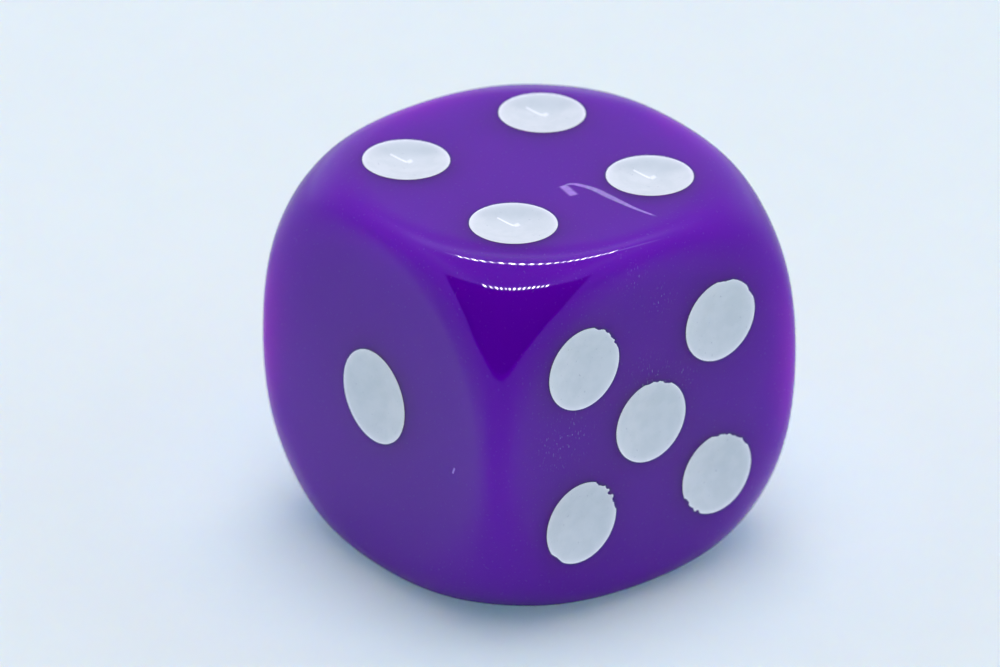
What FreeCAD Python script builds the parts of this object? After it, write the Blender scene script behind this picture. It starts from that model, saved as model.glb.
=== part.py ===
import FreeCAD, Part
import math
import os

# A six-sided die: one moulded body with 21 dished recesses, and the enamel in each of them.
# The origin is the centre of the die. The four is on top (+Z), the one faces the front (-Y)
# and the five is on the right (+X), so opposite faces add up to seven.

Vector = FreeCAD.Vector

# Driving dimensions, in millimetres and degrees.
EDGE = 16.0                   # between opposite faces
CORNER_BALL_RADIUS = 11.5     # the eight corners lie on this ball about the centre
FACE_BLEND_RADIUS = 2.8       # rounds each flat face over into the corner ball
EDGE_BLEND_RADIUS = 0.9       # rounds the twelve edges, where two face blends meet

PIP_RADIUS = 1.775
ONE_PIP_RADIUS = 2.0          # the single pip is drilled larger than the others
PIP_PITCH = 3.5               # face centre to a corner pip, along and across the face
SIX_COLUMN_OFFSET = 3.0       # face centre to each column of the six
SIX_ROW_PITCH = 3.9           # between pips in a column of the six

RECESS_RIM_DEPTH = 0.16       # straight wall at the edge of a recess
DISH_SLOPE = 14.0             # fall of a dish from its edge towards its middle
DISH_TIP_RADIUS = 2.5         # rounding in the middle of a dish
ENAMEL_DROP = 0.04            # the enamel's edge lies this far below the face
TOOL_CLEARANCE = 1.0          # how far a recess cutter stands out of the face

OFFSET_TOLERANCE = 1e-4

# Where the pips of each face sit, in columns (right) and rows (up).
DIAGONAL = [(-1, 1), (1, -1)]
CORNERS = [(-1, 1), (1, 1), (-1, -1), (1, -1)]
CENTRE = [(0, 0)]
COLUMNS_OF_THREE = [(column, row) for row in (1, 0, -1) for column in (-1, 1)]

# Each face: its outward normal, the direction that is up on it, the spots it carries, and
# how far its drilled pattern is shifted to the right and up from the middle of the face.
FACES = {
    "one": {
        "normal": Vector(0, -1, 0), "up": Vector(0, 0, 1), "spots": CENTRE, "shift": (0.04, 0.11),
    },
    "two": {
        "normal": Vector(-1, 0, 0), "up": Vector(0, 0, 1), "spots": DIAGONAL, "shift": (0.0, 0.0),
    },
    "three": {
        "normal": Vector(0, 0, -1), "up": Vector(0, 1, 0), "spots": DIAGONAL + CENTRE,
        "shift": (0.0, 0.0),
    },
    "four": {
        "normal": Vector(0, 0, 1), "up": Vector(0, 1, 0), "spots": CORNERS, "shift": (-0.14, -0.07),
    },
    "five": {
        "normal": Vector(1, 0, 0), "up": Vector(0, 0, 1), "spots": CORNERS + CENTRE,
        "shift": (-0.03, -0.18),
    },
    "six": {
        "normal": Vector(0, 1, 0), "up": Vector(0, 0, 1), "spots": COLUMNS_OF_THREE,
        "shift": (0.0, 0.0),
    },
}

ROW_NAMES = {1: "upper", 0: "middle", -1: "lower"}
COLUMN_NAMES = {-1: "left", 0: "centre", 1: "right"}


def line(start, end):
    """A straight edge."""
    return Part.LineSegment(start, end).toShape()


def arc(start, middle, end):
    """A circular edge through three points."""
    return Part.Arc(start, middle, end).toShape()


def revolved(edges):
    """The solid swept by a closed half section in the XZ plane, turned about Z."""
    section = Part.Face(Part.Wire(edges))
    return section.revolve(Vector(0, 0, 0), Vector(0, 0, 1), 360)


def on_circle(centre, radius, angle):
    """A point in the XZ plane on a circle, its angle measured from +Z towards +X."""
    return centre + Vector(radius * math.sin(angle), 0, radius * math.cos(angle))


def mirrored(point):
    """The same point on the other side of the XY plane."""
    return Vector(point.x, point.y, -point.z)


def two_faced_ball(half_height, ball_radius, blend_radius):
    """A ball with a flat at each end of Z, each flat rounded over into the ball."""
    blend_height = half_height - blend_radius
    flat_radius = math.sqrt((ball_radius - blend_radius) ** 2 - blend_height ** 2)
    blend_centre = Vector(flat_radius, 0, blend_height)
    blend_angle = math.atan2(flat_radius, blend_height)

    top = Vector(0, 0, half_height)
    flat_edge = Vector(flat_radius, 0, half_height)
    blend_middle = on_circle(blend_centre, blend_radius, blend_angle / 2)
    blend_end = on_circle(blend_centre, blend_radius, blend_angle)
    equator = Vector(ball_radius, 0, 0)
    return revolved([
        line(top, flat_edge),
        arc(flat_edge, blend_middle, blend_end),
        arc(blend_end, equator, mirrored(blend_end)),
        arc(mirrored(blend_end), mirrored(blend_middle), mirrored(flat_edge)),
        line(mirrored(flat_edge), mirrored(top)),
        line(mirrored(top), top),
    ])


def die_blank():
    """The body before drilling: six blended faces, then rounded along its edges.

    The core is smaller than the die by the edge blend all round, and growing it by that
    much turns its sharp edges into rounded ones and leaves every other surface in place.
    """
    along_z = two_faced_ball(
        EDGE / 2 - EDGE_BLEND_RADIUS,
        CORNER_BALL_RADIUS - EDGE_BLEND_RADIUS,
        FACE_BLEND_RADIUS - EDGE_BLEND_RADIUS,
    )
    along_x = along_z.rotated(Vector(0, 0, 0), Vector(0, 1, 0), 90)
    along_y = along_z.rotated(Vector(0, 0, 0), Vector(1, 0, 0), 90)
    core = along_z.common(along_x).common(along_y)
    return core.makeOffsetShape(EDGE_BLEND_RADIUS, OFFSET_TOLERANCE, fill=False, join=0)


def dish_points(radius, rim_depth):
    """Half section of a dish below z = 0: middle, a point on its rounding, its end, and the rim."""
    slope = math.radians(DISH_SLOPE)
    rounding_end = DISH_TIP_RADIUS * math.sin(slope)
    cone_depth = (radius - rounding_end) * math.tan(slope)
    rounding_depth = DISH_TIP_RADIUS * (1 - math.cos(slope))
    middle_depth = rim_depth + cone_depth + rounding_depth
    rounding_centre = Vector(0, 0, DISH_TIP_RADIUS - middle_depth)
    middle = Vector(0, 0, -middle_depth)
    on_rounding = on_circle(rounding_centre, DISH_TIP_RADIUS, math.pi - slope / 2)
    end = on_circle(rounding_centre, DISH_TIP_RADIUS, math.pi - slope)
    rim = Vector(radius, 0, -rim_depth)
    return middle, on_rounding, end, rim


def recess_cutter(radius):
    """What the drill takes away, with its mouth at z = 0."""
    middle, on_rounding, end, rim = dish_points(radius, RECESS_RIM_DEPTH)
    top = Vector(0, 0, TOOL_CLEARANCE)
    top_edge = Vector(radius, 0, TOOL_CLEARANCE)
    return revolved([
        arc(middle, on_rounding, end),
        line(end, rim),
        line(rim, top_edge),
        line(top_edge, top),
        line(top, middle),
    ])


def enamel(radius):
    """The coat of enamel that lines a recess, dished like the recess under it."""
    middle, on_rounding, end, rim = dish_points(radius, RECESS_RIM_DEPTH)
    top_middle, top_on_rounding, top_end, top_rim = dish_points(radius, ENAMEL_DROP)
    return revolved([
        arc(middle, on_rounding, end),
        line(end, rim),
        line(rim, top_rim),
        line(top_rim, top_end),
        arc(top_end, top_on_rounding, top_middle),
        line(top_middle, middle),
    ])


def spot_offsets(face_name, column, row):
    """How far a spot lies to the right of and above the middle of its pattern."""
    if face_name == "six":
        return column * SIX_COLUMN_OFFSET, row * SIX_ROW_PITCH
    return column * PIP_PITCH, row * PIP_PITCH


def spot_placement(face_name, column, row):
    """Carries a shape modelled at the origin, mouth up, to a spot on a face."""
    face = FACES[face_name]
    right = face["up"].cross(face["normal"])
    offset_right, offset_up = spot_offsets(face_name, column, row)
    shift_right, shift_up = face["shift"]
    position = (
        face["normal"] * (EDGE / 2)
        + right * (offset_right + shift_right)
        + face["up"] * (offset_up + shift_up)
    )
    rotation = FreeCAD.Rotation(right, face["up"], face["normal"], "ZXY")
    return FreeCAD.Placement(position, rotation)


def placed(shape, placement):
    """A copy of a shape, moved by a placement."""
    return shape.transformed(placement.toMatrix(), copy=True)


def pip_name(face_name, column, row):
    """The node name of a pip, as its spot is seen by someone facing it."""
    if (column, row) == (0, 0):
        return f"pip_{face_name}_centre"
    return f"pip_{face_name}_{ROW_NAMES[row]}_{COLUMN_NAMES[column]}"


def pips():
    """Every recess cutter, and every enamel coat by its node name, in place."""
    cutters = []
    coats = {}
    for face_name, face in FACES.items():
        radius = ONE_PIP_RADIUS if face_name == "one" else PIP_RADIUS
        for column, row in face["spots"]:
            placement = spot_placement(face_name, column, row)
            cutters.append(placed(recess_cutter(radius), placement))
            coats[pip_name(face_name, column, row)] = placed(enamel(radius), placement)
    return cutters, coats


def main():
    cutters, coats = pips()
    body = die_blank().cut(cutters)
    nodes = {"die_body": body.Solids[0]}
    for name, coat in coats.items():
        nodes[name] = coat
    os.makedirs("parts", exist_ok=True)
    for name, shape in nodes.items():
        shape.exportStep(f"parts/{name}.step")


main()
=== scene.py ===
import math

import bpy
import numpy as np
from mathutils import Matrix, Vector
from mathutils.geometry import delaunay_2d_cdt


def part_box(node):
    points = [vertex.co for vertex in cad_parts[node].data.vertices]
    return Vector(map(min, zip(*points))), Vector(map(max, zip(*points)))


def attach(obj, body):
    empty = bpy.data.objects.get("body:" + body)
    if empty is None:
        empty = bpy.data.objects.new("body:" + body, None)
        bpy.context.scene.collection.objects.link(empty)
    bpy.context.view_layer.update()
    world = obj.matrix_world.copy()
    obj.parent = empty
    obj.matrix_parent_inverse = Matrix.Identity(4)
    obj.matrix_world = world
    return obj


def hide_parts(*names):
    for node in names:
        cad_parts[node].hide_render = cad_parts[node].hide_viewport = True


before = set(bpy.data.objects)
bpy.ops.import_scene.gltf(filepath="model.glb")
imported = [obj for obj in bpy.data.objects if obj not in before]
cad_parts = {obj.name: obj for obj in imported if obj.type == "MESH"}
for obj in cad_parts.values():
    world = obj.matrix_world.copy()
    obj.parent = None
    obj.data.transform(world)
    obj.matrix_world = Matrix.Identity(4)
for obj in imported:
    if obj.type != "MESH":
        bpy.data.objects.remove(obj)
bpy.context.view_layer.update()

# Meshes are worked out in millimetres and scaled to metres when they are made.
MM = 0.001
UPWARD = Vector((0, 0, 1))

# The die's outside: three balls with a flat at each end, one along each axis, run together.
BODY_LOW, BODY_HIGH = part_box("die_body")
INSET = 0.0001                # how far the look's faces lie inside those of the design
HALF = (BODY_HIGH.x - BODY_LOW.x) / 2 / MM - INSET    # from the centre to a face
CORNER_BALL = 1.4636 * HALF
FACE_BLEND = 0.472 * HALF
EDGE_BLEND = 0.0944 * HALF
EDGE_POWER = 3.2              # how tightly the faces run together along an edge
SURFACE_RANGE = (0.9, 1.8)    # the outside lies between these distances, as shares of HALF
SEARCH_STEPS = 14             # to find the outside along a ray

# How finely the outside is divided, from the middle of a face to its edge.
FLAT_SHARE = 0.84             # of the way out, where the finer divisions start
FLAT_DIVISIONS = 28
BLEND_DIVISIONS = 18
RIM_SEGMENTS = 240
RIM_MARGIN = 0.13             # no grid point lies closer than this to a recess
RECESS_RINGS = (0.7, 0.35)    # in the floor of a recess, as shares of its radius
SEAM_GRID = 1e-5              # points that round to the same place on it are joined

# Recesses and the enamel in them. The enamel reaches nearly up to the face.
RIM_ROUNDING = 0.045          # of the body at the mouth of a recess
RIM_STEPS = 4
RECESS_RIM_DEPTH = 0.16
ENAMEL_DROP = 0.01
DISH_SLOPE = math.radians(14)
DISH_TIP = 2.5                # rounding radius in the middle of a dish
ENAMEL_GAP = 0.002            # between the enamel and the recess under it
ENAMEL_RINGS = 14
RING_CROWDING = 1.7           # towards the rim, where the enamel climbs
CHIP_FADING = 12              # how soon the chipped outline turns round again, inwards
MENISCUS_RISE = 0.02
MENISCUS_WIDTH = 0.04
# width of the painted highlight along the enamel's rim
RIM_HIGHLIGHT_WIDTH = 0.12

# Faces by name: outward normal and the direction that is up on them.
FACES = {
    "one": (Vector((0, -1, 0)), Vector((0, 0, 1))),
    "two": (Vector((-1, 0, 0)), Vector((0, 0, 1))),
    "three": (Vector((0, 0, -1)), Vector((0, 1, 0))),
    "four": (Vector((0, 0, 1)), Vector((0, 1, 0))),
    "five": (Vector((1, 0, 0)), Vector((0, 0, 1))),
    "six": (Vector((0, 1, 0)), Vector((0, 0, 1))),
}

# Chipped stretches of the rims: from and to angle, in degrees from the right, anticlockwise, and
# how deep the deepest chips are, in millimetres.
CHIPPED_RIMS = {
    "pip_five_upper_left": [(15, 65, 0.06)],
    "pip_five_upper_right": [(22, 36, 0.04), (78, 92, 0.06)],
    "pip_five_centre": [(55, 63, 0.16), (63, 90, 0.05)],
    "pip_five_lower_left": [(8, 58, 0.12), (213, 237, 0.05)],
    "pip_five_lower_right": [(35, 92, 0.08), (206, 238, 0.10)],
}
CHIP_SEED = 5
CHIP_SPACING = 8.0            # degrees
CHIP_HALF_WIDTH = 5.0         # degrees
CHIP_WIDTH_RANGE = (0.6, 1.6) # as shares of the half width
CHIP_DEPTH_RANGE = (0.4, 1.0) # as shares of the deepest

# The camera, looking down at the edge between the one and the five.
CAMERA_AZIMUTH = 51.45
CAMERA_ELEVATION = 27.83
CAMERA_ROLL = 0.80
CAMERA_DISTANCE = 0.5114
CAMERA_LENS = 452.8
CAMERA_AIM = (-1.173, 0.375)  # to the right of and above the die's centre, in millimetres
CAMERA_FSTOP = 90
FOCUS_POINT = (5.6, -5.6, 4.0)

# The surroundings, seen from the die: a pale tent whose open front is dark in reflections but
# still lets in cool light. Levels go by the height of a direction: 0 is level, 1 straight up.
TENT_COLOUR = (0.885, 1.0, 1.17)
TENT_LIGHT = {0.0: 0.55, 0.70: 0.55, 0.85: 1.08, 1.0: 2.17}
TENT_BRIGHT_SIDE = (0.10, 0.0, 0.0)   # right, back, up; the tent is this much brighter that way
FRONT_LIGHT = (0.06, 0.23, 0.41)
MIRRORED_SIDES = {
    0.0: 0.38, 0.25: 0.40, 0.50: 0.42, 0.64: 0.50,
    0.77: 0.70, 0.87: 0.45, 0.94: 0.33, 1.0: 0.33,
}
MIRRORED_BACK = {
    0.0: 0.75, 0.17: 0.66, 0.34: 0.58, 0.50: 0.43, 0.64: 0.42,
    0.74: 0.62, 0.82: 1.3, 0.90: 0.9, 0.95: 0.35, 1.0: 0.33,
}
BACK_RANGE = (0.3, 0.9)               # the sides turn into the back between these shares

# The near edge of the tent's roof, as shares of its height above the die, and the two sides of
# the opening: planes through the die, given by their normals to the right, forward and up.
OPENING_EDGE = {"forward": 0.56, "slant": 0.20, "bow": 0.10}
OPENING_REACH = (-1.4, 1.2)           # the edge bends no further beyond these, left and right
OPENING_LEFT = (1.0, 1.75, 0.55)
OPENING_RIGHT = (-1.0, 1.30, 0.25)
OPENING_SOFTNESS = 0.05

# Two strips of small lamps overhead, given as shares of their height above the die. The second
# runs along the front edge of the tent. Lengths along a strip are evened out by STRIP_SPREAD.
STRIP_HEIGHT = 2.0
STRIPS = [
    {
        "forward": -0.325, "slant": 0.14, "bow": 0.05,
        "left": -0.252, "right": 0.376, "pitch": 0.0330,
        "power": 1.05, "haze": (-0.4, 1.0),
    },
    {
        "forward": 0.568, "slant": 0.20, "bow": 0.18,
        "left": -0.378, "right": 0.357, "pitch": 0.0545,
        "power": 1.9, "haze": (-0.45, 0.6),
    },
]
STRIP_SPREAD = 0.72           # the lamps stand farther apart towards the ends of a strip
LAMP_RADIUS = 0.013
LAMP_COLOUR = (1.0, 0.70, 0.50)
LAMP_GLINT = 140.0            # brightness of a lamp's reflection before the surface dims it
LAMP_UNEVENNESS = (0.4, 1.2)  # the dimmest and brightest lamps, as shares of that
LAMP_GLINT_WIDTH = 0.18       # half width of a reflected lamp, as a share of the pitch
LAMP_GLINT_DEPTH = 0.026      # its half depth, as a share of the height
HAZE_DEPTH = 0.035            # half depth of the dim streak along a strip, as a share of the height
HAZE_SHARE = 0.016            # its brightness, as a share of a lamp's
HAZE_FADING = (0.15, 0.5)     # the streak's fading at its left and right ends
LOWEST_GLINT = 0.05           # the height of the lowest direction in which lamps are looked for
GLINT_COLOUR = (1.0, 0.92, 1.06)

# Wear, in millimetres: a curl-shaped scuff on the four, a nick on the one, and patches of fine
# marks on the five (middle, reach and strength). The bend of the scuff is a share of its length,
# and its taper a share of its width, both by how far along it they are.
SCUFF_START = (1.99, 0.05, HALF)
SCUFF_END = (6.30, 1.37, HALF)
SCUFF_HOOK = (2.95, -0.12, HALF)
SCUFF_BEND = {
    0.0: 0.0, 0.04: 0.07, 0.14: 0.10, 0.27: 0.105,
    0.42: 0.075, 0.58: 0.045, 0.78: 0.012, 1.0: 0.0,
}
SCUFF_TAPER = {0.0: 0.6, 0.2: 0.8, 0.4: 1.0, 0.6: 0.8, 0.8: 0.5, 1.0: 0.35}
SCUFF_WIDTH = 0.32
HOOK_WIDTH = 1.2 * SCUFF_WIDTH
SCUFF_COLOUR = (0.60, 0.36, 0.90, 1)
SCUFF_SHARE = 0.85            # of the scuff's colour where it is worst
NICK_START = (5.24, -HALF, -1.15)
NICK_END = (5.36, -HALF, -0.85)
NICK_WIDTH = 0.10
FINE_MARKS = [
    ((HALF, -4.5, 0.4), 1.0, 0.60),
    ((HALF, 0.0, 1.7), 0.9, 0.54),
    ((HALF, 0.3, 5.2), 0.5, 0.42),
    ((HALF, -1.2, 6.6), 0.6, 0.30),
    ((HALF, 1.5, 1.2), 0.7, 0.36),
]
FINE_MARK_STRETCH = (1, 1, 0.35)

# Plastic of the body.
BODY_COLOURS = ((0.119, 0.0005, 0.370, 1), (0.137, 0.0010, 0.405, 1))
BODY_IOR = 1.4
BODY_SCATTER = (12.0, 0.5, 9.0)       # how far red, green and blue spread in it
SPECK_COLOUR = (0.5, 0.35, 0.8, 1)
SPECK_SHARE = 0.05
# Painted shade: a dark ring on the plastic round the mouth of each recess.
RIM_SHADE_COLOUR = (0.060, 0.020, 0.220, 1)
RIM_SHADE_SHARE = 0.6               # of that colour at the rim of a recess: a painted shade ring round each recess
OPENING_SHADE_SHARE = 0.15             # painted dark reflection: how much darker and deeper the plastic is made where it mirrors the open front
BLACK = (0, 0, 0, 1)

# Enamel of the pips.
ENAMEL_IOR = 1.5
ENAMEL_GREY = (0.79, 0.81, 0.83, 1)
ENAMEL_WHITE = (0.84, 0.85, 0.87, 1)
DIRT_COLOUR = (0.35, 0.36, 0.45, 1)
DIRT_SHARE = 0.4
SHADED_COLOUR = (0.42, 0.48, 0.52, 1) # painted shade on the far side of a dish that faces up
SHADED_SHARE = 0.38
SHADED_RANGE = (0.3, 1.2)     # beyond the middle of a pip
# Painted highlight along the enamel's rim: a paler colour, and a glow of RIM_SHINE.
RIM_HIGHLIGHT_COLOUR = (0.95, 0.93, 0.98, 1)
RIM_HIGHLIGHT_SHARE = 0.9
RIM_SHINE = 0.15
# A painted highlight: a bright dash drawn in each dish that faces up, shown only from about the
# camera's direction.
DASH_POINTS = [(-0.65, 0.84), (0.05, 0.42), (0.24, 0.55)]   # right of and beyond a pip's middle
DASH_WIDTH = 0.09
DASH_TAIL_WIDTH = 2.4 * DASH_WIDTH
DASH_TAIL_SHARE = 0.7
DASH_SHINE = 0.3
FACING_UP = (0.5, 0.8)        # the rise of a normal between which a face comes to count as a top

# The floor.
FLOOR_RADIUS = 4.0
FLOOR_SEGMENTS = 96
FLOOR_COLOURS = ((0.805, 0.85, 0.82, 1), (0.825, 0.87, 0.84, 1))
FLOOR_SCATTER = 12.0          # how far light spreads inside the floor, in millimetres
FLOOR_SCATTER_COLOUR = (1.0, 1.2, 1.6)
FLOOR_FRONT = 400.0           # the floor ends this far in front of the die, in reflections
SHADOW_LIGHT = (0.045, 0.08, 0.12)    # painted light: a cool glow on the floor, seen only by the camera, that fills the die's shadow
SHADOW_DISTANCE = 14.0        # from the die's middle to where it is brightest
SHADOW_WIDTH = 4.3

# The floor's brightness in reflections, as a share of its own: far away, and what is added
# below the die, on the right, on the left and behind.
MIRRORED_FLOOR = 0.37
MIRRORED_BELOW = 0.32
MIRRORED_RIGHT = 0.30
MIRRORED_LEFT = 0.17
MIRRORED_BEHIND = 0.10


# ---------------------------------------------------------------- shape of the die

def axis_distance(points, axis):
    """Distance of points from the blended ball with its flats across an axis."""
    ball = CORNER_BALL - EDGE_BLEND
    blend = FACE_BLEND - EDGE_BLEND
    half = HALF - EDGE_BLEND
    along = np.abs(points[:, axis])
    across = np.sqrt(np.maximum((points ** 2).sum(axis=1) - along ** 2, 0))
    blend_height = half - blend
    flat_radius = math.sqrt((ball - blend) ** 2 - blend_height ** 2)
    to_flat = along - half
    to_blend = np.hypot(across - flat_radius, along - blend_height) - blend
    to_ball = np.hypot(across, along) - ball
    beside_blend = across * blend_height < flat_radius * along
    return np.where(across < flat_radius, to_flat, np.where(beside_blend, to_blend, to_ball))


def outside_distance(points):
    """Distance of points from the outside of the die, negative inside it."""
    distances = np.stack([axis_distance(points, axis) for axis in range(3)])
    powers = np.maximum(distances, 0) ** EDGE_POWER
    beyond = powers.sum(axis=0) ** (1 / EDGE_POWER)
    return beyond + np.minimum(distances.max(axis=0), 0) - EDGE_BLEND


def on_outside(directions):
    """Where rays from the centre of the die leave it, by false position."""
    directions = directions / np.linalg.norm(directions, axis=1)[:, None]
    near = np.full(len(directions), SURFACE_RANGE[0] * HALF)
    far = np.full(len(directions), SURFACE_RANGE[1] * HALF)
    near_value = outside_distance(directions * near[:, None])
    far_value = outside_distance(directions * far[:, None])
    for _ in range(SEARCH_STEPS):
        middle = (near * far_value - far * near_value) / (far_value - near_value)
        value = outside_distance(directions * middle[:, None])
        inside = value < 0
        far_value = np.where(inside, far_value / 2, value)
        near_value = np.where(inside, value, near_value / 2)
        near = np.where(inside, middle, near)
        far = np.where(inside, far, middle)
    return directions * middle[:, None]


def outside_normals(points):
    """Outward normals of the die's outside."""
    step = 1e-4 * HALF
    slopes = []
    for axis in range(3):
        shift = np.zeros(3)
        shift[axis] = step
        slopes.append(outside_distance(points + shift) - outside_distance(points - shift))
    normals = np.stack(slopes, axis=1)
    return normals / np.linalg.norm(normals, axis=1)[:, None]


# ---------------------------------------------------------------- pips

def face_axes(face):
    """Right, up and outward directions of a face, as rows."""
    normal, up = FACES[face]
    return np.array([up.cross(normal), up, normal])


def pip_places(face):
    """Name, centre (right, up) and radius of every pip on a face, from the frame."""
    axes = face_axes(face)
    places = []
    for name in sorted(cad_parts):
        if not name.startswith(f"pip_{face}_"):
            continue
        low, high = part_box(name)
        centre = axes @ np.array((low + high) / 2) / MM
        size = np.abs(axes @ np.array(high - low)) / MM
        places.append((name, centre[:2], size[0] / 2))
    return places


def rim_radii(name, radius, angles):
    """Radius of a pip's rim at each angle, with nicks along its chipped stretches."""
    radii = np.full(len(angles), radius)
    random = np.random.default_rng([CHIP_SEED, *name.encode()])
    for start, end, deepest in CHIPPED_RIMS.get(name, []):
        for middle in np.arange(start, end, CHIP_SPACING):
            chip = math.radians(middle + random.uniform(0, CHIP_SPACING))
            half_width = math.radians(CHIP_HALF_WIDTH * random.uniform(*CHIP_WIDTH_RANGE))
            depth = deepest * random.uniform(*CHIP_DEPTH_RANGE)
            away = np.abs((angles - chip + math.pi) % (2 * math.pi) - math.pi)
            radii -= depth * np.sqrt(np.clip(1 - (away / half_width) ** 2, 0, 1))
    return radii


def dish_depth(distance, radius, rim_depth):
    """Depth of a dish below the face at a distance from its middle."""
    rounding_end = DISH_TIP * math.sin(DISH_SLOPE)
    cone = rim_depth + (radius - np.maximum(distance, rounding_end)) * math.tan(DISH_SLOPE)
    across = np.minimum(distance, rounding_end)
    rounding = np.sqrt(DISH_TIP ** 2 - across ** 2) - DISH_TIP * math.cos(DISH_SLOPE)
    return cone + rounding


def rim_angles():
    """The angles at which a rim is divided."""
    return np.arange(RIM_SEGMENTS) * 2 * math.pi / RIM_SEGMENTS


def ring(axes, centre, radii, depths):
    """Points round a pip, given their radii and depths below the face."""
    angles = rim_angles()
    local = np.stack([
        centre[0] + radii * np.cos(angles),
        centre[1] + radii * np.sin(angles),
        HALF - depths * np.ones(RIM_SEGMENTS),
    ], axis=1)
    return local @ axes


class MeshParts:
    """Vertices of a mesh under construction, what is known at each of them, and triangles."""

    def __init__(self):
        self.vertices = []
        self.normals = []
        self.closeness = []       # to the rim of a recess, from 0 to 1
        self.spots = []           # place relative to the middle of a pip
        self.triangles = []

    def add_points(self, points, normals, closeness=0.0, spot_middle=(0.0, 0.0, 0.0)):
        """Adds points and returns their numbers."""
        first = len(self.vertices)
        self.vertices.extend(map(tuple, points))
        self.normals.extend(map(tuple, normals))
        self.closeness.extend([closeness] * len(points))
        self.spots.extend(map(tuple, np.array(points) - np.array(spot_middle)))
        return list(range(first, len(self.vertices)))

    def join_rings(self, outer, inner):
        """Bridges two rings; seen from outside the die, the outer one runs anticlockwise."""
        count = len(outer)
        for i in range(count):
            j = (i + 1) % count
            self.triangles.append((outer[i], outer[j], inner[j]))
            self.triangles.append((outer[i], inner[j], inner[i]))

    def close_ring(self, outer, middle):
        """Fans a ring in to one point."""
        count = len(outer)
        for i in range(count):
            self.triangles.append((outer[i], outer[(i + 1) % count], middle))

    def to_object(self, name):
        """A smooth-shaded object in metres, with the normals that were given."""
        mesh = bpy.data.meshes.new(name)
        vertices = [tuple(np.array(v) * MM) for v in self.vertices]
        mesh.from_pydata(vertices, [], self.triangles)
        mesh.polygons.foreach_set("use_smooth", [True] * len(mesh.polygons))
        mesh.normals_split_custom_set_from_vertices(self.normals)
        mesh.attributes.new("closeness", "FLOAT", "POINT").data.foreach_set("value", self.closeness)
        spots = np.array(self.spots).ravel()
        mesh.attributes.new("spot", "FLOAT_VECTOR", "POINT").data.foreach_set("vector", spots)
        mesh.update()
        obj = bpy.data.objects.new(name, mesh)
        bpy.context.scene.collection.objects.link(obj)
        return obj


# ---------------------------------------------------------------- moulded body

def grid_lines():
    """Divisions across a face, as shares of the half edge."""
    flat = np.linspace(0, FLAT_SHARE, FLAT_DIVISIONS + 1)
    blend = np.linspace(FLAT_SHARE, 1, BLEND_DIVISIONS + 1)[1:]
    half = np.concatenate([flat, blend])
    return np.concatenate([-half[:0:-1], half])


def inside_polygon(points, polygon):
    """Which points lie inside a polygon, by counting crossings."""
    inside = np.zeros(len(points), bool)
    for start, end in zip(polygon, np.roll(polygon, -1, axis=0)):
        spans = (start[1] > points[:, 1]) != (end[1] > points[:, 1])
        if start[1] == end[1]:
            continue
        share = (points[:, 1] - start[1]) / (end[1] - start[1])
        crossing = start[0] + share * (end[0] - start[0])
        inside ^= spans & (points[:, 0] < crossing)
    return inside


def flat_triangles(pips):
    """Divides a square face, less its recesses. Returns points, triangles and recess rings."""
    lines = grid_lines() * HALF
    grid = np.stack(np.meshgrid(lines, lines), axis=-1).reshape(-1, 2)
    angles = rim_angles()
    turn = np.stack([np.cos(angles), np.sin(angles)], axis=1)
    points = grid
    extra = []
    edges = []
    rings = []
    for _, centre, radius in pips:
        points = points[np.hypot(*(points - centre).T) > radius + RIM_ROUNDING + RIM_MARGIN]
    first = len(points)
    for name, centre, radius in pips:
        rim = centre + turn * (rim_radii(name, radius, angles) + RIM_ROUNDING)[:, None]
        outer = centre + turn * (radius + RIM_ROUNDING + RIM_MARGIN / 2)
        rings.append(list(range(first, first + RIM_SEGMENTS)))
        edges += [(first + i, first + (i + 1) % RIM_SEGMENTS) for i in range(RIM_SEGMENTS)]
        extra += [rim, outer]
        first += 2 * RIM_SEGMENTS
    points = np.concatenate([points, *extra])
    result = delaunay_2d_cdt([Vector(p) for p in points], edges, [], 0, 1e-7, True)
    places = np.array([tuple(v) for v in result[0]])
    triangles = np.array([tuple(f) for f in result[2]])
    number_after = {}
    for after, before_numbers in enumerate(result[3]):
        for before in before_numbers:
            number_after[before] = after
    rings = [[number_after[i] for i in one] for one in rings]
    middles = places[triangles].mean(axis=1)
    keep = np.ones(len(triangles), bool)
    for one in rings:
        keep &= ~inside_polygon(middles, places[one])
    triangles = triangles[keep]
    first_side = places[triangles[:, 1]] - places[triangles[:, 0]]
    second_side = places[triangles[:, 2]] - places[triangles[:, 0]]
    clockwise = first_side[:, 0] * second_side[:, 1] < first_side[:, 1] * second_side[:, 0]
    triangles[clockwise] = triangles[clockwise][:, ::-1]
    return places, triangles, rings


def add_recess(parts, face, pip, surface_ring):
    """Rolls the face over into a recess and closes it with its wall and floor."""
    name, centre, radius = pip
    axes = face_axes(face)
    radii = rim_radii(name, radius, rim_angles())
    outward = ring(axes, (0, 0), np.ones(RIM_SEGMENTS), HALF * np.ones(RIM_SEGMENTS))
    previous = surface_ring
    for step in range(1, RIM_STEPS + 1):
        angle = step / RIM_STEPS * math.pi / 2
        rolled = radii + RIM_ROUNDING * (1 - math.sin(angle))
        depth = RIM_ROUNDING * (1 - math.cos(angle))
        normals = axes[2] * math.cos(angle) - outward * math.sin(angle)
        following = parts.add_points(ring(axes, centre, rolled, depth), normals, 1.0)
        parts.join_rings(previous, following)
        previous = following
    wall_end = parts.add_points(ring(axes, centre, radii, RECESS_RIM_DEPTH), -outward)
    parts.join_rings(previous, wall_end)
    previous = wall_end
    for share in RECESS_RINGS:
        distances = radii * share
        depths = dish_depth(distances, radius, RECESS_RIM_DEPTH)
        floor_normals = np.tile(axes[2], (RIM_SEGMENTS, 1))
        following = parts.add_points(ring(axes, centre, distances, depths), floor_normals)
        parts.join_rings(previous, following)
        previous = following
    depth = dish_depth(0.0, radius, RECESS_RIM_DEPTH)
    middle = np.array([[centre[0], centre[1], HALF - depth]]) @ axes
    parts.close_ring(previous, parts.add_points(middle, axes[2:])[0])


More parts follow.
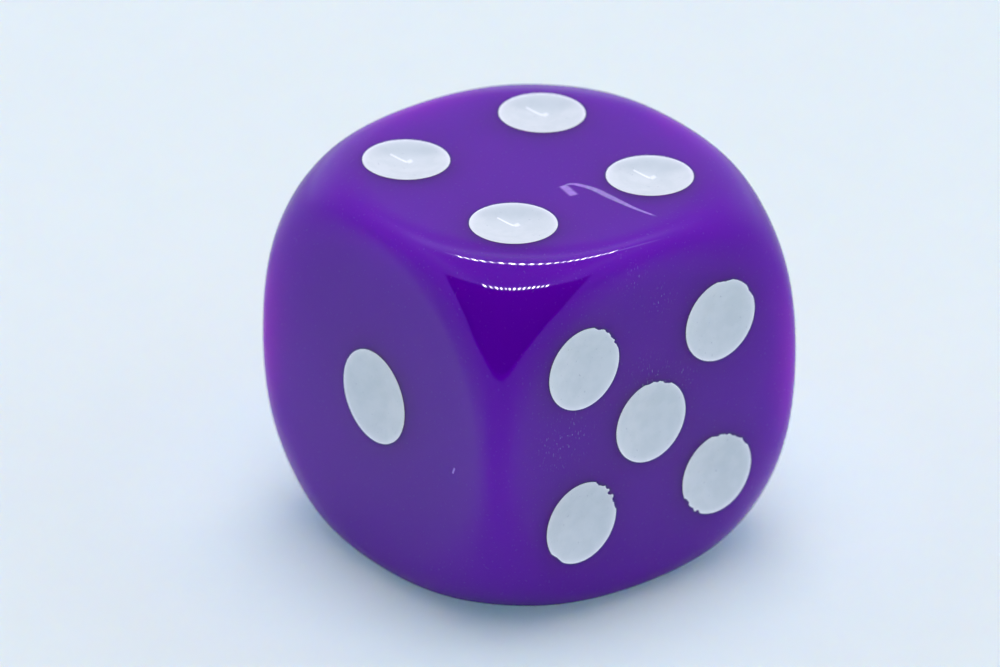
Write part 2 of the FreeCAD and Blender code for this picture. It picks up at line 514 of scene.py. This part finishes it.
def merge_seams(parts):
    """Joins the points that neighbouring faces share."""
    numbers = {}
    merged = MeshParts()
    renumbered = []
    for point, normal, closeness in zip(parts.vertices, parts.normals, parts.closeness):
        key = tuple(round(c / SEAM_GRID) for c in point)
        if key not in numbers:
            numbers[key] = merged.add_points([point], [normal], closeness)[0]
        renumbered.append(numbers[key])
    for triangle in parts.triangles:
        corners = tuple(renumbered[i] for i in triangle)
        if len(set(corners)) == 3:
            merged.triangles.append(corners)
    return merged


def moulded_body():
    """The die's body: six faces run together along its edges, with 21 recesses."""
    parts = MeshParts()
    for face in FACES:
        axes = face_axes(face)
        pips = pip_places(face)
        places, triangles, rings = flat_triangles(pips)
        directions = np.column_stack([places, np.full(len(places), HALF)]) @ axes
        points = on_outside(directions)
        numbers = parts.add_points(points, outside_normals(points))
        parts.triangles += [tuple(numbers[i] for i in t) for t in triangles]
        for pip, surface_ring in zip(pips, rings):
            mouth = [numbers[i] for i in surface_ring]
            for number in mouth:
                parts.closeness[number] = 1.0
            add_recess(parts, face, pip, mouth)
    return merge_seams(parts).to_object("moulded_body")


# ---------------------------------------------------------------- enamel

def enamel_depth(distances, radius):
    """Depth of the enamel's face, which climbs a little where it meets the rim."""
    climb = MENISCUS_RISE * np.exp(-(radius - distances) / MENISCUS_WIDTH)
    return dish_depth(distances, radius, ENAMEL_DROP) - climb + MENISCUS_RISE


def enamel_coat(face, pip):
    """One pip's enamel: its dished face, its edge and the back that lies in the recess."""
    name, centre, radius = pip
    axes = face_axes(face)
    chipped = rim_radii(name, radius, rim_angles()) - ENAMEL_GAP
    parts = MeshParts()
    shares = 1 - np.linspace(0, 1, ENAMEL_RINGS + 1)[:-1] ** RING_CROWDING
    spot_middle = np.array([centre[0], centre[1], HALF]) @ axes
    previous = None
    for share in shares:
        distances = radius * share + (chipped - radius) * share ** CHIP_FADING
        depths = enamel_depth(distances, radius)
        slopes = enamel_depth(distances + 1e-3, radius) - enamel_depth(distances - 1e-3, radius)
        outward = ring(axes, (0, 0), np.ones(RIM_SEGMENTS), HALF * np.ones(RIM_SEGMENTS))
        normals = axes[2] + outward * (slopes / 2e-3)[:, None]
        normals /= np.linalg.norm(normals, axis=1)[:, None]
        closeness = math.exp(-radius * (1 - share) / RIM_HIGHLIGHT_WIDTH)
        points = ring(axes, centre, distances, depths)
        following = parts.add_points(points, normals, closeness, spot_middle)
        if previous:
            parts.join_rings(previous, following)
        else:
            rim = following
        previous = following
    depth = float(enamel_depth(0.0, radius))
    middle = np.array([[centre[0], centre[1], HALF - depth]]) @ axes
    parts.close_ring(previous, parts.add_points(middle, axes[2:], 0.0, spot_middle)[0])

    back = RECESS_RIM_DEPTH - ENAMEL_GAP
    edge_points = ring(axes, centre, chipped, back)
    edge = parts.add_points(edge_points, outward)
    parts.join_rings(edge, rim)
    middle = np.array([[centre[0], centre[1], HALF - dish_depth(0.0, radius, back)]]) @ axes
    bottom = parts.add_points(middle, -axes[2:])[0]
    parts.close_ring(edge[::-1], bottom)
    obj = parts.to_object(name.replace("pip", "enamel", 1))
    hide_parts(name)
    return obj


# ---------------------------------------------------------------- shader helpers

def add_node(tree, kind, settings=None, inputs=None):
    """Adds a shader node; an input is a value or another node's output."""
    node = tree.nodes.new(kind)
    for name, value in (settings or {}).items():
        setattr(node, name, value)
    for name, value in (inputs or {}).items():
        if isinstance(value, bpy.types.NodeSocket):
            tree.links.new(value, node.inputs[name])
        else:
            node.inputs[name].default_value = value
    return node


def maths(tree, operation, first, second=0.0, third=0.0):
    """The result of a maths node."""
    inputs = {0: first, 1: second, 2: third}
    return add_node(tree, "ShaderNodeMath", {"operation": operation}, inputs).outputs[0]


def product(tree, *values):
    """Values multiplied together."""
    total = values[0]
    for value in values[1:]:
        total = maths(tree, "MULTIPLY", total, value)
    return total


def vector_maths(tree, operation, first, second):
    """The vector that a vector maths node gives."""
    inputs = {0: first, 1: tuple(second) if isinstance(second, Vector) else second}
    return add_node(tree, "ShaderNodeVectorMath", {"operation": operation}, inputs).outputs[0]


def rise(tree, value, start, end):
    """Goes smoothly from 0 to 1 while a value goes from start to end."""
    settings = {"interpolation_type": "SMOOTHSTEP"}
    inputs = {"Value": value, "From Min": start, "From Max": end}
    return add_node(tree, "ShaderNodeMapRange", settings, inputs).outputs["Result"]


def noise(tree, place, scale, detail=2.0):
    """A noise value about 0.5, its scale per millimetre."""
    inputs = {"Vector": place, "Scale": scale, "Detail": detail}
    return add_node(tree, "ShaderNodeTexNoise", {}, inputs).outputs["Fac"]


def mixed(tree, share, first, second):
    """Two colours mixed."""
    settings = {"data_type": "RGBA"}
    inputs = {0: share, 6: first, 7: second}
    return add_node(tree, "ShaderNodeMix", settings, inputs).outputs[2]


def stepped(tree, value, levels):
    """A brightness that changes evenly between the given levels."""
    ramp = add_node(tree, "ShaderNodeValToRGB", {}, {"Fac": value})
    stops = ramp.color_ramp.elements
    while len(stops) < len(levels):
        stops.new(0.5)
    for stop, (position, level) in zip(stops, levels.items()):
        stop.position = position
        stop.color = (level, level, level, 1)
    return ramp.outputs[0]


def place_in_mm(tree):
    """The object's own coordinates, in millimetres."""
    place = add_node(tree, "ShaderNodeTexCoord").outputs["Object"]
    settings = {"operation": "SCALE"}
    return add_node(tree, "ShaderNodeVectorMath", settings, {0: place, "Scale": 1 / MM}).outputs[0]


def new_material(name):
    """An empty node material, its tree and its output node."""
    material = bpy.data.materials.new(name)
    material.use_nodes = True
    tree = material.node_tree
    tree.nodes.clear()
    return material, tree, tree.nodes.new("ShaderNodeOutputMaterial")


def dotted(tree, direction, vector):
    """The dot product of a direction with a fixed vector."""
    inputs = {0: direction, 1: tuple(vector)}
    return add_node(tree, "ShaderNodeVectorMath", {"operation": "DOT_PRODUCT"}, inputs).outputs["Value"]


def bell(tree, value, width):
    """Exp(-(value / width) squared)."""
    share = maths(tree, "DIVIDE", value, width)
    square = maths(tree, "MULTIPLY", share, share)
    return maths(tree, "EXPONENT", maths(tree, "MULTIPLY", square, -1.0))


def geometry(tree, name):
    """The surface's Normal, or its Incoming direction towards the eye."""
    return add_node(tree, "ShaderNodeNewGeometry").outputs[name]


def facing_up(tree):
    """1 on surfaces that face up, 0 on those that face sideways or down."""
    return rise(tree, dotted(tree, geometry(tree, "Normal"), UPWARD), *FACING_UP)


def along_curve(tree, across, curve):
    """How far forward a strip or an edge overhead lies at a distance to the right."""
    slope = maths(tree, "MULTIPLY_ADD", across, curve["bow"], curve["slant"])
    return maths(tree, "MULTIPLY_ADD", across, slope, curve["forward"])


def mirrored_direction(tree, normal):
    """The direction that a surface mirrors into the eye."""
    away = vector_maths(tree, "MULTIPLY", geometry(tree, "Incoming"), (-1, -1, -1))
    return vector_maths(tree, "REFLECT", away, normal)


def mirrored_opening(tree, normal):
    """1 where a surface mirrors the open front of the tent, else 0."""
    right, _, _ = camera_axes()
    mirrored = mirrored_direction(tree, normal)
    height = dotted(tree, mirrored, UPWARD)
    inputs = {
        0: dotted(tree, mirrored, right),
        1: dotted(tree, mirrored, -level_forward()),
        2: height,
    }
    direction = add_node(tree, "ShaderNodeCombineXYZ", {}, inputs).outputs[0]
    above_floor = rise(tree, height, 0.0, OPENING_SOFTNESS)
    return product(tree, front_opening(tree, direction), above_floor)


def lamps_in_strip(tree, strip, evened, beside):
    """The lamps of one strip, in the plane of the strips."""
    steps = maths(tree, "DIVIDE", maths(tree, "SUBTRACT", evened, strip["left"]), strip["pitch"])
    nearest = maths(tree, "ROUND", steps)
    past = maths(tree, "SUBTRACT", steps, nearest)
    blob = product(tree, bell(tree, past, LAMP_GLINT_WIDTH), bell(tree, beside, LAMP_GLINT_DEPTH))
    random = add_node(tree, "ShaderNodeTexWhiteNoise", {"noise_dimensions": "1D"}, {"W": nearest})
    dimmest, brightest = LAMP_UNEVENNESS
    uneven = maths(tree, "MULTIPLY_ADD", random.outputs["Value"], brightest - dimmest, dimmest)
    last = math.floor((strip["right"] - strip["left"]) / strip["pitch"])
    started = maths(tree, "GREATER_THAN", nearest, -0.5)
    ended = maths(tree, "LESS_THAN", nearest, last + 0.5)
    return product(tree, started, ended, blob, uneven)


def haze_on_strip(tree, strip, across, beside):
    """The dim streak along one strip, in the plane of the strips."""
    start, end = strip["haze"]
    fade_in, fade_out = HAZE_FADING
    started = rise(tree, across, start, start + fade_in)
    ended = rise(tree, across, end, end - fade_out)
    return product(tree, started, ended, bell(tree, beside, HAZE_DEPTH), HAZE_SHARE)


def lamp_glints(tree, normal, strips, ior):
    """How brightly a surface mirrors the strips of lamps, worked out from the mirrored direction.

    Each lamp is too small for the renderer to find in a surface this smooth, so the lamps
    themselves are hidden from reflections and this takes their place.
    """
    right, _, _ = camera_axes()
    mirrored = mirrored_direction(tree, normal)
    height = dotted(tree, mirrored, UPWARD)
    above = maths(tree, "GREATER_THAN", height, LOWEST_GLINT)
    height = maths(tree, "MAXIMUM", height, LOWEST_GLINT)
    across = maths(tree, "DIVIDE", dotted(tree, mirrored, right), height)
    along = maths(tree, "DIVIDE", dotted(tree, mirrored, level_forward()), height)
    share = maths(tree, "DIVIDE", across, STRIP_SPREAD)
    stretch = maths(tree, "SQRT", maths(tree, "MULTIPLY_ADD", share, share, 1.0))
    evened = maths(tree, "DIVIDE", across, stretch)
    total = 0.0
    for strip in strips:
        beside = maths(tree, "SUBTRACT", along, along_curve(tree, across, strip))
        total = maths(tree, "ADD", total, lamps_in_strip(tree, strip, evened, beside))
        total = maths(tree, "ADD", total, haze_on_strip(tree, strip, across, beside))
    fresnel = add_node(tree, "ShaderNodeFresnel", {}, {"IOR": ior, "Normal": normal}).outputs[0]
    return product(tree, total, above, LAMP_GLINT, fresnel)


# ---------------------------------------------------------------- materials

def stroke(tree, place, normal, start, end, width, bend=None, taper=None):
    """1 along a straight or bent stroke between two points of a flat face, else 0."""
    start = Vector(start)
    length = (Vector(end) - start).length
    ahead = (Vector(end) - start) / length
    beside = normal.cross(ahead).normalized()
    offset = vector_maths(tree, "SUBTRACT", place, start)
    share = maths(tree, "DIVIDE", dotted(tree, offset, ahead), length)
    away = dotted(tree, offset, beside)
    half_width = width / 2
    if bend:
        away = maths(tree, "SUBTRACT", away, product(tree, curved(tree, share, bend), length))
    away = maths(tree, "ABSOLUTE", away)
    if taper:
        away = maths(tree, "DIVIDE", away, curved(tree, share, taper))
    near = rise(tree, away, half_width * 1.3, half_width * 0.5)
    started = rise(tree, share, -0.03, 0.03)
    ended = rise(tree, share, 1.03, 0.9)
    return product(tree, near, started, ended)


def curved(tree, value, levels):
    """A value that changes smoothly between the given levels."""
    node = add_node(tree, "ShaderNodeFloatCurve", {}, {"Value": value})
    points = node.mapping.curves[0].points
    while len(points) < len(levels):
        points.new(0.5, 0.5)
    node.mapping.clip_min_y = -1
    for point, (position, level) in zip(points, levels.items()):
        point.location = (position, level)
    node.mapping.update()
    return node.outputs["Value"]


def on_face(tree, place, normal):
    """1 on the flat of a face, 0 elsewhere."""
    return rise(tree, dotted(tree, place, normal), 0.97 * HALF, 0.99 * HALF)


def curl_scuff(tree, place):
    """The long curl on the four, and the hook at its near end."""
    four, _ = FACES["four"]
    curl = stroke(tree, place, four, SCUFF_START, SCUFF_END, SCUFF_WIDTH, SCUFF_BEND, SCUFF_TAPER)
    hook = stroke(tree, place, four, SCUFF_START, SCUFF_HOOK, HOOK_WIDTH)
    worn = maths(tree, "MULTIPLY_ADD", noise(tree, place, 5.0, 3.0), 0.8, 0.4)
    return product(tree, maths(tree, "MAXIMUM", curl, hook), worn, on_face(tree, place, four))


def nick(tree, place):
    """The short nick on the one."""
    one, _ = FACES["one"]
    mark = stroke(tree, place, one, NICK_START, NICK_END, NICK_WIDTH)
    return product(tree, mark, on_face(tree, place, one))


def scuffs(tree, place):
    """Where the plastic is scuffed: the curl, the nick and the fine marks on the five."""
    total = maths(tree, "MAXIMUM", curl_scuff(tree, place), nick(tree, place))
    stretched = vector_maths(tree, "MULTIPLY", place, FINE_MARK_STRETCH)
    fine = rise(tree, noise(tree, stretched, 13.0, 1.0), 0.64, 0.72)
    for middle, reach, strength in FINE_MARKS:
        inputs = {0: place, 1: middle}
        settings = {"operation": "DISTANCE"}
        away = add_node(tree, "ShaderNodeVectorMath", settings, inputs).outputs["Value"]
        marks = product(tree, fine, bell(tree, away, reach), strength)
        total = maths(tree, "MAXIMUM", total, marks)
    return total


def attribute(tree, name, output):
    """A value stored at the vertices of the mesh."""
    return add_node(tree, "ShaderNodeAttribute", {"attribute_name": name}).outputs[output]


def body_colour(tree, place, scuffed):
    """Colour of the plastic: cloudy, finely speckled and pale where scuffed, with painted shade at the
    rims of the recesses and a painted dark reflection where it mirrors the open front.
    """
    colour = mixed(tree, noise(tree, place, 0.25), *BODY_COLOURS)
    speckle = rise(tree, noise(tree, place, 9.0, 0.0), 0.74, 0.80)
    colour = mixed(tree, product(tree, speckle, SPECK_SHARE), colour, SPECK_COLOUR)
    closeness = attribute(tree, "closeness", "Fac")
    # Painted shade round the mouth of each recess.
    colour = mixed(tree, product(tree, closeness, RIM_SHADE_SHARE), colour, RIM_SHADE_COLOUR)
    # Painted dark reflection of the open front, mixed into the colour.
    opening_shade = product(tree, mirrored_opening(tree, geometry(tree, "Normal")), OPENING_SHADE_SHARE)
    colour = mixed(tree, opening_shade, colour, BLACK)
    return mixed(tree, product(tree, scuffed, SCUFF_SHARE), colour, SCUFF_COLOUR)


def bumps(tree, place, scale, detail, strength):
    """Normals of a surface that is uneven by up to 0.02 mm."""
    bump = add_node(tree, "ShaderNodeBump", {}, {
        "Strength": strength,
        "Distance": 0.02 * MM,
        "Height": noise(tree, place, scale, detail),
    })
    return bump.outputs["Normal"]


def body_material():
    """Glossy purple plastic, slightly translucent, a little scuffed."""
    material, tree, output = new_material("purple plastic")
    place = place_in_mm(tree)
    scuffed = scuffs(tree, place)
    roughness = maths(tree, "MULTIPLY_ADD", noise(tree, place, 1.2, 4.0), 0.06, 0.03)
    roughness = maths(tree, "MULTIPLY_ADD", scuffed, 0.4, roughness)
    normal = bumps(tree, place, 6.0, 4.0, 0.03)
    shader = add_node(tree, "ShaderNodeBsdfPrincipled", {}, {
        "Base Color": body_colour(tree, place, scuffed),
        "Roughness": roughness,
        "IOR": BODY_IOR,
        "Subsurface Weight": 1.0,
        "Subsurface Radius": BODY_SCATTER,
        "Subsurface Scale": MM,
        "Normal": normal,
        "Emission Color": (*GLINT_COLOUR, 1),
        "Emission Strength": lamp_glints(tree, normal, STRIPS, BODY_IOR),
    })
    tree.links.new(shader.outputs[0], output.inputs["Surface"])
    return material


def dish_glint(tree, spot):
    """A painted highlight: the bright dash that the lamps leave in a dish that faces up, as the camera
    sees it.
    """
    right, _, toward = camera_axes()
    start, corner, end = [right * across - level_forward() * beyond for across, beyond in DASH_POINTS]
    flat = vector_maths(tree, "MULTIPLY", spot, (1, 1, 0))
    dash = stroke(tree, flat, UPWARD, start, corner, DASH_WIDTH)
    tail = stroke(tree, flat, UPWARD, corner, end, DASH_TAIL_WIDTH)
    both = maths(tree, "MAXIMUM", dash, product(tree, tail, DASH_TAIL_SHARE))
    seen = rise(tree, dotted(tree, geometry(tree, "Incoming"), toward), 0.90, 0.98)
    return product(tree, both, facing_up(tree), seen)


def enamel_colour(tree, place, spot, closeness):
    """Colour of the enamel: cloudy, with specks of dirt, painted shade on the far side of dishes that
    face up, and a painted highlight that makes it brightest at the rim.
    """
    cloud = rise(tree, noise(tree, place, 1.6, 4.0), 0.35, 0.65)
    colour = mixed(tree, cloud, ENAMEL_GREY, ENAMEL_WHITE)
    dirt = rise(tree, noise(tree, place, 7.0, 1.0), 0.70, 0.80)
    colour = mixed(tree, product(tree, dirt, DIRT_SHARE), colour, DIRT_COLOUR)
    # Painted shade on the far side of dishes that face up.
    far_side = rise(tree, dotted(tree, spot, -level_forward()), *SHADED_RANGE)
    shaded = product(tree, far_side, facing_up(tree), SHADED_SHARE)
    colour = mixed(tree, shaded, colour, SHADED_COLOUR)
    return mixed(tree, product(tree, closeness, RIM_HIGHLIGHT_SHARE), colour, RIM_HIGHLIGHT_COLOUR)


def enamel_material():
    """Glossy white enamel, with painted highlights: brightest, and glowing, where it climbs to the rim,
    and a bright dash in dishes that face up.
    """
    material, tree, output = new_material("white enamel")
    place = place_in_mm(tree)
    spot = attribute(tree, "spot", "Vector")
    closeness = attribute(tree, "closeness", "Fac")
    # Painted highlight: the enamel glows along its rim.
    rim_shine = product(tree, closeness, closeness, RIM_SHINE)
    dash = product(tree, dish_glint(tree, spot), DASH_SHINE)
    shader = add_node(tree, "ShaderNodeBsdfPrincipled", {}, {
        "Base Color": enamel_colour(tree, place, spot, closeness),
        "Roughness": maths(tree, "MULTIPLY_ADD", noise(tree, place, 2.0, 3.0), 0.15, 0.15),
        "IOR": ENAMEL_IOR,
        "Normal": bumps(tree, place, 3.0, 3.0, 0.15),
        "Emission Color": (*GLINT_COLOUR, 1),
        "Emission Strength": maths(tree, "ADD", dash, rim_shine),
    })
    tree.links.new(shader.outputs[0], output.inputs["Surface"])
    return material


def shadow_fill(tree, place):
    """How much painted cool light that fills the die's shadow a place on the floor gets, as the camera
    sees it.
    """
    settings = {"operation": "LENGTH"}
    distance = add_node(tree, "ShaderNodeVectorMath", settings, {0: place}).outputs["Value"]
    around = bell(tree, maths(tree, "SUBTRACT", distance, SHADOW_DISTANCE), SHADOW_WIDTH)
    return product(tree, around, add_node(tree, "ShaderNodeLightPath").outputs["Is Camera Ray"])


def mirrored_floor(tree, place):
    """The floor's brightness in reflections, as a share of its own."""
    right, _, _ = camera_axes()
    direction = add_node(tree, "ShaderNodeVectorMath", {"operation": "NORMALIZE"}, {0: place})
    direction = direction.outputs[0]
    sideways = dotted(tree, direction, right)
    on_right = product(tree, rise(tree, sideways, 0.3, 0.9), MIRRORED_RIGHT)
    on_left = product(tree, rise(tree, sideways, -0.3, -0.9), MIRRORED_LEFT)
    nearer = maths(tree, "ADD", maths(tree, "ADD", on_right, on_left), MIRRORED_BELOW)
    near = rise(tree, dotted(tree, direction, -UPWARD), 0.0, 0.4)
    share = maths(tree, "MULTIPLY_ADD", near, nearer, MIRRORED_FLOOR)
    behind = rise(tree, dotted(tree, direction, -level_forward()), 0.2, 0.9)
    share = maths(tree, "MULTIPLY_ADD", behind, MIRRORED_BEHIND, share)
    forward = dotted(tree, place, level_forward())
    return product(tree, share, rise(tree, forward, FLOOR_FRONT * 1.1, FLOOR_FRONT))


def floor_material():
    """Matt white paper with a faint mottle, dimmer in reflections, and painted cool light glowing in
    the die's shadow.
    """
    material, tree, output = new_material("pale paper")
    place = place_in_mm(tree)
    colour = mixed(tree, noise(tree, place, 0.35, 3.0), *FLOOR_COLOURS)
    reflected = add_node(tree, "ShaderNodeLightPath").outputs["Is Glossy Ray"]
    dimmed = product(tree, maths(tree, "SUBTRACT", 1.0, mirrored_floor(tree, place)), reflected)
    shader = add_node(tree, "ShaderNodeBsdfPrincipled", {}, {
        "Base Color": mixed(tree, dimmed, colour, BLACK),
        "Roughness": 0.9,
        "Specular IOR Level": 0.2,
        "Subsurface Weight": 1.0,
        "Subsurface Radius": FLOOR_SCATTER_COLOUR,
        "Subsurface Scale": FLOOR_SCATTER * MM,
        "Emission Color": (*SHADOW_LIGHT, 1),
        "Emission Strength": shadow_fill(tree, place),
    })
    tree.links.new(shader.outputs[0], output.inputs["Surface"])
    return material


# ---------------------------------------------------------------- surroundings

def camera_axes():
    """Right, up and back directions of the camera before its roll."""
    azimuth = math.radians(CAMERA_AZIMUTH)
    elevation = math.radians(CAMERA_ELEVATION)
    back = level_forward() * math.cos(elevation) + UPWARD * math.sin(elevation)
    right = Vector((math.cos(azimuth), math.sin(azimuth), 0))
    return right, back.cross(right), back


def level_forward():
    """The level direction from the die towards the camera."""
    azimuth = math.radians(CAMERA_AZIMUTH)
    return Vector((math.sin(azimuth), -math.cos(azimuth), 0))


def add_camera():
    """A long lens, a little above the die."""
    right, up, back = camera_axes()
    aim = (right * CAMERA_AIM[0] + up * CAMERA_AIM[1]) * MM
    roll = math.radians(CAMERA_ROLL)
    rolled_right = right * math.cos(roll) + up * math.sin(roll)
    rolled_up = up * math.cos(roll) - right * math.sin(roll)
    data = bpy.data.cameras.new("camera")
    data.lens = CAMERA_LENS
    camera = bpy.data.objects.new("camera", data)
    turn = Matrix((rolled_right, rolled_up, back)).transposed().to_4x4()
    camera.matrix_world = Matrix.Translation(aim + back * CAMERA_DISTANCE) @ turn
    bpy.context.scene.collection.objects.link(camera)
    focus = bpy.data.objects.new("focus", None)
    focus.location = Vector(FOCUS_POINT) * MM
    bpy.context.scene.collection.objects.link(focus)
    data.dof.use_dof = True
    data.dof.focus_object = focus
    data.dof.aperture_fstop = CAMERA_FSTOP
    bpy.context.scene.camera = camera


def front_opening(tree, direction):
    """1 where a direction (right, back, up) leaves the tent through its open front, else 0."""
    height = maths(tree, "MAXIMUM", dotted(tree, direction, UPWARD), 1e-4)
    across = maths(tree, "DIVIDE", dotted(tree, direction, (1, 0, 0)), height)
    leftmost, rightmost = OPENING_REACH
    across = maths(tree, "MAXIMUM", maths(tree, "MINIMUM", across, rightmost), leftmost)
    edge = product(tree, along_curve(tree, across, OPENING_EDGE), height)
    past_edge = maths(tree, "SUBTRACT", dotted(tree, direction, (0, -1, 0)), edge)
    opening = rise(tree, past_edge, 0.0, OPENING_SOFTNESS)
    for right, forward, up in (OPENING_LEFT, OPENING_RIGHT):
        inside = dotted(tree, direction, (right, -forward, up))
        wall = rise(tree, inside, -OPENING_SOFTNESS, OPENING_SOFTNESS)
        opening = product(tree, opening, wall)
    return opening


def tent_light(tree, direction, height):
    """How brightly the tent lights things from a direction (right, back, up)."""
    uneven = maths(tree, "ADD", dotted(tree, direction, TENT_BRIGHT_SIDE), 1.0)
    return product(tree, stepped(tree, height, TENT_LIGHT), uneven)


def mirrored_tent(tree, direction, height):
    """How bright the tent is in reflections in a direction (right, back, up)."""
    level = maths(tree, "SQRT", maths(tree, "SUBTRACT", 1.0, maths(tree, "POWER", height, 2.0)))
    backward = dotted(tree, direction, (0, 1, 0))
    backward = maths(tree, "DIVIDE", backward, maths(tree, "MAXIMUM", level, 1e-4))
    sides = stepped(tree, height, MIRRORED_SIDES)
    back = stepped(tree, height, MIRRORED_BACK)
    return mixed(tree, rise(tree, backward, *BACK_RANGE), sides, back)


def add_surroundings():
    """Soft light from all round, less an open front."""
    world = bpy.data.worlds.new("tent")
    world.use_nodes = True
    bpy.context.scene.world = world
    tree = world.node_tree
    tree.nodes.clear()
    direction = add_node(tree, "ShaderNodeTexCoord").outputs["Generated"]
    turned = add_node(tree, "ShaderNodeVectorRotate", {"rotation_type": "Z_AXIS"}, {
        "Vector": direction,
        "Angle": -math.radians(CAMERA_AZIMUTH),
    }).outputs[0]
    height = dotted(tree, turned, UPWARD)
    light = tent_light(tree, turned, height)
    mirrored = mirrored_tent(tree, turned, height)
    glossy = add_node(tree, "ShaderNodeLightPath").outputs["Is Glossy Ray"]
    brightness = mixed(tree, glossy, light, mirrored)
    settings = {"data_type": "RGBA", "blend_type": "MULTIPLY"}
    inputs = {0: 1.0, 6: brightness, 7: (*TENT_COLOUR, 1)}
    tent = add_node(tree, "ShaderNodeMix", settings, inputs).outputs[2]
    front = mixed(tree, glossy, (*FRONT_LIGHT, 1), BLACK)
    colour = mixed(tree, front_opening(tree, turned), tent, front)
    background = add_node(tree, "ShaderNodeBackground", {}, {"Color": colour})
    output = tree.nodes.new("ShaderNodeOutputWorld")
    tree.links.new(background.outputs[0], output.inputs["Surface"])


def add_lamp_strips():
    """Rows of small round lamps high above the die."""
    right, _, _ = camera_axes()
    for strip in STRIPS:
        data = bpy.data.lights.new("strip lamp", "POINT")
        data.energy = strip["power"]
        data.color = LAMP_COLOUR
        data.shadow_soft_size = LAMP_RADIUS
        for evened in np.arange(strip["left"], strip["right"], strip["pitch"]):
            lamp = bpy.data.objects.new("strip lamp", data)
            across = evened / math.sqrt(1 - (evened / STRIP_SPREAD) ** 2)
            along = strip["forward"] + (strip["slant"] + strip["bow"] * across) * across
            lamp.location = (right * across + level_forward() * along + UPWARD) * STRIP_HEIGHT
            lamp.visible_camera = False
            lamp.visible_glossy = False
            bpy.context.scene.collection.objects.link(lamp)


def add_floor():
    """A large round sheet under the die."""
    height = BODY_LOW.z
    rim = []
    for i in range(FLOOR_SEGMENTS):
        angle = 2 * math.pi * i / FLOOR_SEGMENTS
        rim.append((FLOOR_RADIUS * math.cos(angle), FLOOR_RADIUS * math.sin(angle), height))
    mesh = bpy.data.meshes.new("floor")
    mesh.from_pydata(rim, [], [tuple(range(FLOOR_SEGMENTS))])
    mesh.materials.append(floor_material())
    floor = bpy.data.objects.new("floor", mesh)
    bpy.context.scene.collection.objects.link(floor)


# ---------------------------------------------------------------- the scene

def add_die():
    """Every piece of the die, on the frame's one body."""
    body = moulded_body()
    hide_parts("die_body")
    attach(body, "root")
    body.data.materials.append(body_material())
    white = enamel_material()
    for face in FACES:
        for pip in pip_places(face):
            coat = enamel_coat(face, pip)
            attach(coat, "root")
            coat.data.materials.append(white)


add_die()
add_floor()
add_surroundings()
add_lamp_strips()
add_camera()
bpy.context.scene.view_settings.view_transform = "Standard"
